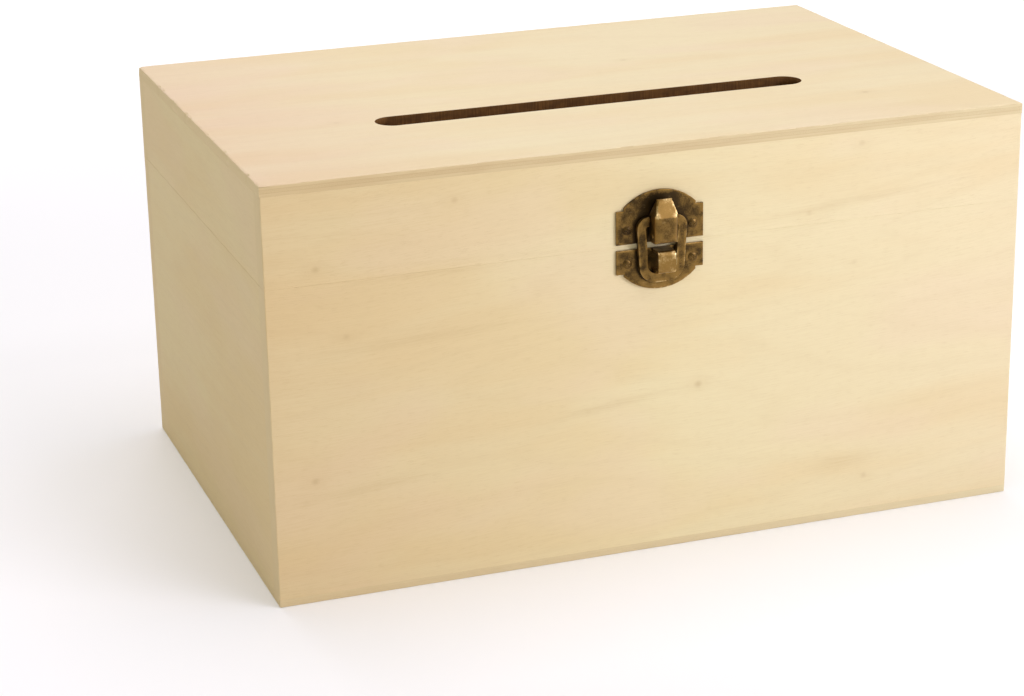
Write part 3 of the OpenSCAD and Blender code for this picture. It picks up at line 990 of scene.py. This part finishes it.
def dress_metal(node, slot):
    """Rounds the folds, breaks the cut edges, and stores the wear, the painted highlight and the
    painted shade.
    """
    bm = bmesh.new()
    bm.from_mesh(nodes[node].data)
    bmesh.ops.remove_doubles(bm, verts=bm.verts[:], dist=weld_reach)
    bmesh.ops.dissolve_limit(bm, angle_limit=flat_enough, verts=bm.verts[:], edges=bm.edges[:])
    folds = [edge for edge in sharp_edges(bm) if is_fold(edge)]
    cuts = [edge for edge in sharp_edges(bm) if not is_fold(edge)]
    fold_tree, cut_tree = tree_of(folds), tree_of(cuts)
    bmesh.ops.bevel(bm, geom=folds, offset=fold_ease, segments=fold_steps, profile=0.5,
                    affect="EDGES", clamp_overlap=False)
    bmesh.ops.bevel(bm, geom=sharp_edges(bm), offset=cut_ease, segments=cut_steps, profile=0.6,
                    affect="EDGES", clamp_overlap=False)
    cut_up(bm, *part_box(node), sheet_spacing)
    store_wear(bm, node, fold_tree, cut_tree)
    for face in bm.faces:
        face.smooth = True
    piece = make_piece(bm, node, [brass_of[slot]])
    piece.data.set_sharp_from_angle(angle=smooth_below)


# %% Dress all the metal
for node, slot in slot_of.items():
    if slot in brass_of:
        dress_metal(node, slot)

# %% [markdown]
# ## Studio
# The box stands on a white table that runs out of the picture. One big soft light hangs over it,
# and smaller ones fill in from the front on the right, low on the right and behind, so the left
# side lies in a pale shadow. The table glows a little by itself, more so further out, as a lit
# sweep does. More light could whiten the background as well, but it would bleach the wood.

# %% Table
table_white = colour(236, 235, 234)
near_glow, far_glow = (0.128, 0.128, 0.115, 1), (0.72, 0.72, 0.70, 1)
glow_start, glow_end = 450, 1700
table_half, table_drop = 6.0, 0.02 * mm


def build_table():
    """A square of white with a glow that grows outward."""
    finish = Finish("table")
    away = finish.length_of(finish.places())
    glow = finish.mix(finish.between(away, glow_start, glow_end), near_glow, far_glow)
    surface = finish.skin(table_white, 0.9, **{"Specular IOR Level": 0.0, "Emission Color": glow,
                                               "Emission Strength": 1.0})
    corners = [(-table_half, -table_half, 0), (table_half, -table_half, 0),
               (table_half, table_half, 0), (-table_half, table_half, 0)]
    mesh = bpy.data.meshes.new("table")
    mesh.from_pydata(corners, [], [(0, 1, 2, 3)])
    mesh.materials.append(surface)
    table = bpy.data.objects.new("table", mesh)
    bpy.context.scene.collection.objects.link(table)
    table.location.z = -table_drop


build_table()

# %% Lights
cool_white = (1.0, 0.98, 1.16)
under_the_box, middle_of_box = Vector((0, 0, 0)), Vector((0, 0, 0.08))
# Each light has a place, an aim, the side of its square in metres, its watts, and its spread.
lights = {
    "overhead_light": ((0.1, 0.0, 1.8), under_the_box, 1.6, 18.0, 180),
    "side_light": ((0.52, -0.66, 0.35), middle_of_box, 0.4, 1.10, 110),
    "front_light": ((0.9, -1.9, 2.6), middle_of_box, 0.6, 6.7, 180),
    "back_light": ((0.0, 1.6, 1.3), middle_of_box, 1.2, 10.5, 180),
}


def soft_box(name, place, aim, side, power, spread):
    """A square soft light that the camera doesn't see."""
    lamp = bpy.data.lights.new(name, "AREA")
    lamp.shape, lamp.size, lamp.spread = "SQUARE", side, math.radians(spread)
    lamp.energy, lamp.color = power, cool_white
    light = bpy.data.objects.new(name, lamp)
    light.location = place
    light.rotation_euler = (aim - Vector(place)).to_track_quat("-Z", "Y").to_euler()
    light.visible_camera = False
    bpy.context.scene.collection.objects.link(light)
    print(name, power, "W")


for name, (place, aim, side, power, spread) in lights.items():
    soft_box(name, place, aim, side, power, spread)

# %% Light of the room
room_tint, room_strength = (1.0, 0.99, 0.82, 1), 0.361
world = bpy.data.worlds.new("studio_air")
bpy.context.scene.world = world
world.use_nodes = True
room = world.node_tree.nodes["Background"].inputs
room["Color"].default_value = room_tint
room["Strength"].default_value = room_strength
bpy.context.scene.view_settings.view_transform = "Standard"
print("room light", room_strength)
